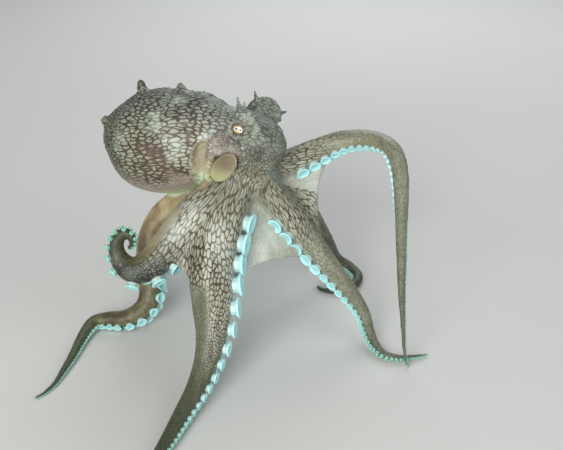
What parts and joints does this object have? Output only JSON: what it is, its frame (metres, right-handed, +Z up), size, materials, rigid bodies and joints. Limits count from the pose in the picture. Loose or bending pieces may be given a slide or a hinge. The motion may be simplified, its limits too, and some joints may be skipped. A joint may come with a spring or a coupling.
{
  "type": "coconut octopus",
  "caption": "Still life-size model of a coconut octopus standing tall on its arms, with mantle, horned head, funnel, web and suckered arms.",
  "frame": {"origin": "middle of the bottom of the overall box, on the floor the arms stand on", "axes": "+Z up; +X to the right in the picture's view, roughly toward where the head looks; +Y away from the viewer, to the animal's left"},
  "size_m": [0.206, 0.2408, 0.134],
  "materials": {
    "skin_mantle": "moist skin, cream cells in a dark brown net",
    "skin_head": "moist granular grey-brown skin",
    "skin_crown": "moist skin, brown net on cream",
    "skin_arm": "moist skin, brown net on tan",
    "skin_arm_tip": "moist olive brown skin",
    "funnel": "smooth moist tan skin",
    "eye": "clear wet gold iris with a dark slit"
  },
  "bodies": {
    "root": {"mantle": "skin_mantle", "head": "skin_head", "crown": "skin_crown", "funnel": "funnel", "eye_right": "eye", "eye_left": "eye", "arm_r1_upper": "skin_arm", "arm_r1_middle": "skin_arm", "arm_r1_tip": "skin_arm_tip", "arm_r2_upper": "skin_arm", "arm_r2_middle": "skin_arm", "arm_r2_tip": "skin_arm_tip", "arm_r3_upper": "skin_arm", "arm_r3_middle": "skin_arm", "arm_r3_tip": "skin_arm_tip", "arm_r4_upper": "skin_arm", "arm_r4_middle": "skin_arm", "arm_r4_tip": "skin_arm_tip", "arm_l1_upper": "skin_arm", "arm_l1_middle": "skin_arm", "arm_l1_tip": "skin_arm_tip", "arm_l2_upper": "skin_arm", "arm_l2_middle": "skin_arm", "arm_l2_tip": "skin_arm_tip", "arm_l3_upper": "skin_arm", "arm_l3_middle": "skin_arm", "arm_l3_tip": "skin_arm_tip", "arm_l4_upper": "skin_arm", "arm_l4_middle": "skin_arm", "arm_l4_tip": "skin_arm_tip"}
  },
  "joints": []
}
